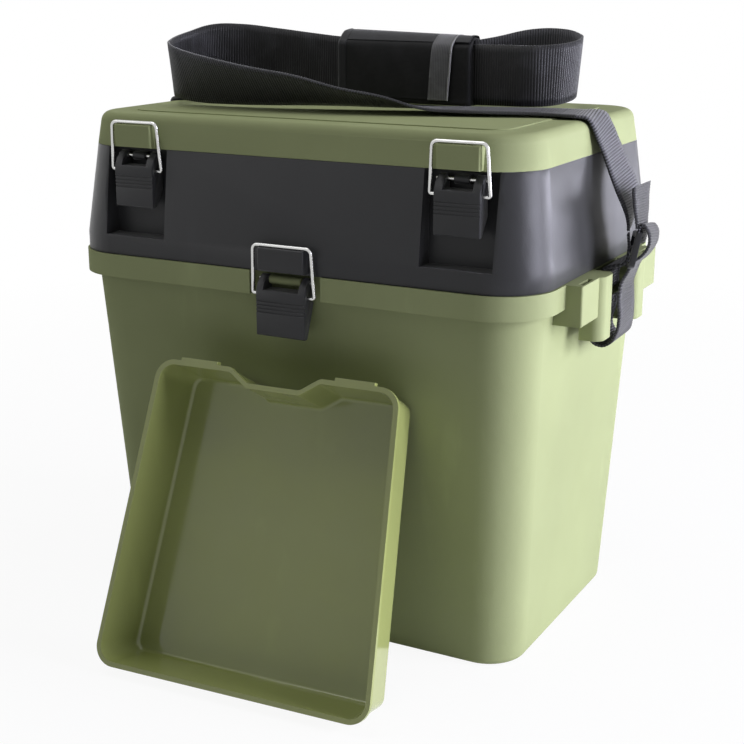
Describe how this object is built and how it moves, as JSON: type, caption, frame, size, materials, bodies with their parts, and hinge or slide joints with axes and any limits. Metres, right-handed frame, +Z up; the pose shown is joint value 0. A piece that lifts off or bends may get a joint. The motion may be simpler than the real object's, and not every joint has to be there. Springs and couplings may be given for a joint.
{
  "type": "fishing seat box",
  "caption": "Fishing seat box: tapered bucket, hinged case and seat lid held by lever latches, webbing strap with shoulder pad, and a lift-out tray leaning on its front.",
  "frame": {"origin": "centre of the bucket's footprint, on the floor", "axes": "X to the object's right seen from the latch side, Y to the hinges at the back, Z up"},
  "size_m": [0.4594, 0.3925, 0.4474],
  "materials": {
    "olive_plastic": "moulded, fine satin grain",
    "black_plastic": "moulded, soft sheen",
    "tray_plastic": "moulded, glossy",
    "steel": "bright drawn wire and rod",
    "webbing": "ribbed woven webbing",
    "pad_cloth": "smooth padded cloth"
  },
  "bodies": {
    "bucket": {"bucket": "olive_plastic", "case_hinge_pin_left": "steel", "case_hinge_pin_right": "steel", "latch_pin_centre": "steel", "strap_bar_left": "olive_plastic", "strap_bar_right": "olive_plastic", "strap_loop_left": "webbing", "strap_loop_right": "webbing"},
    "case": {"case": "black_plastic", "lid_hinge_pin_left": "steel", "lid_hinge_pin_right": "steel", "latch_pin_left": "steel", "latch_pin_right": "steel", "strap_buckle_left": "black_plastic", "strap_buckle_right": "black_plastic", "strap_side_left": "webbing", "strap_side_right": "webbing"},
    "lid": {"lid": "olive_plastic", "strap_top": "webbing", "shoulder_pad": "pad_cloth"},
    "tray": {"tray": "tray_plastic"},
    "lever_left": {"latch_lever_left": "black_plastic"},
    "bail_left": {"latch_bail_left": "steel"},
    "lever_right": {"latch_lever_right": "black_plastic"},
    "bail_right": {"latch_bail_right": "steel"},
    "lever_centre": {"latch_lever_centre": "black_plastic"},
    "bail_centre": {"latch_bail_centre": "steel"}
  },
  "joints": [
    {"name": "case_hinge", "type": "hinge", "parent": "bucket", "child": "case", "pos_m": [0, 0.141, 0.28315], "axis": [-1, 0, 0], "range_deg": [0, 95], "deforming": ["strap_loop_left", "strap_loop_right"]},
    {"name": "lid_hinge", "type": "hinge", "parent": "case", "child": "lid", "pos_m": [0, 0.13125, 0.36315], "axis": [-1, 0, 0], "range_deg": [0, 95], "deforming": ["strap_side_left", "strap_side_right"]},
    {"name": "lever_left_swing", "type": "hinge", "parent": "case", "child": "lever_left", "pos_m": [-0.1268, -0.12265, 0.357], "axis": [-1, 0, 0], "range_deg": [0, 70]},
    {"name": "bail_left_swing", "type": "hinge", "parent": "lever_left", "child": "bail_left", "pos_m": [-0.1268, -0.12765, 0.347], "axis": [1, 0, 0], "range_deg": [0, 84]},
    {"name": "lever_right_swing", "type": "hinge", "parent": "case", "child": "lever_right", "pos_m": [0.1352, -0.12265, 0.357], "axis": [-1, 0, 0], "range_deg": [0, 70]},
    {"name": "bail_right_swing", "type": "hinge", "parent": "lever_right", "child": "bail_right", "pos_m": [0.1352, -0.12765, 0.347], "axis": [1, 0, 0], "range_deg": [0, 84]},
    {"name": "lever_centre_swing", "type": "hinge", "parent": "bucket", "child": "lever_centre", "pos_m": [0.0042, -0.1324, 0.2777], "axis": [-1, 0, 0], "range_deg": [0, 70]},
    {"name": "bail_centre_swing", "type": "hinge", "parent": "lever_centre", "child": "bail_centre", "pos_m": [0.0042, -0.1374, 0.2677], "axis": [1, 0, 0], "range_deg": [0, 84]},
    {"name": "tray_slide", "type": "slide", "parent": "bucket", "child": "tray", "axis": [0, -1, 0], "range_m": [0, 0.3]}
  ],
  "couplings": [
    {"joint": "bail_left_swing", "follows": "lever_left_swing", "ratio": 1.2},
    {"joint": "bail_right_swing", "follows": "lever_right_swing", "ratio": 1.2},
    {"joint": "bail_centre_swing", "follows": "lever_centre_swing", "ratio": 1.2}
  ]
}
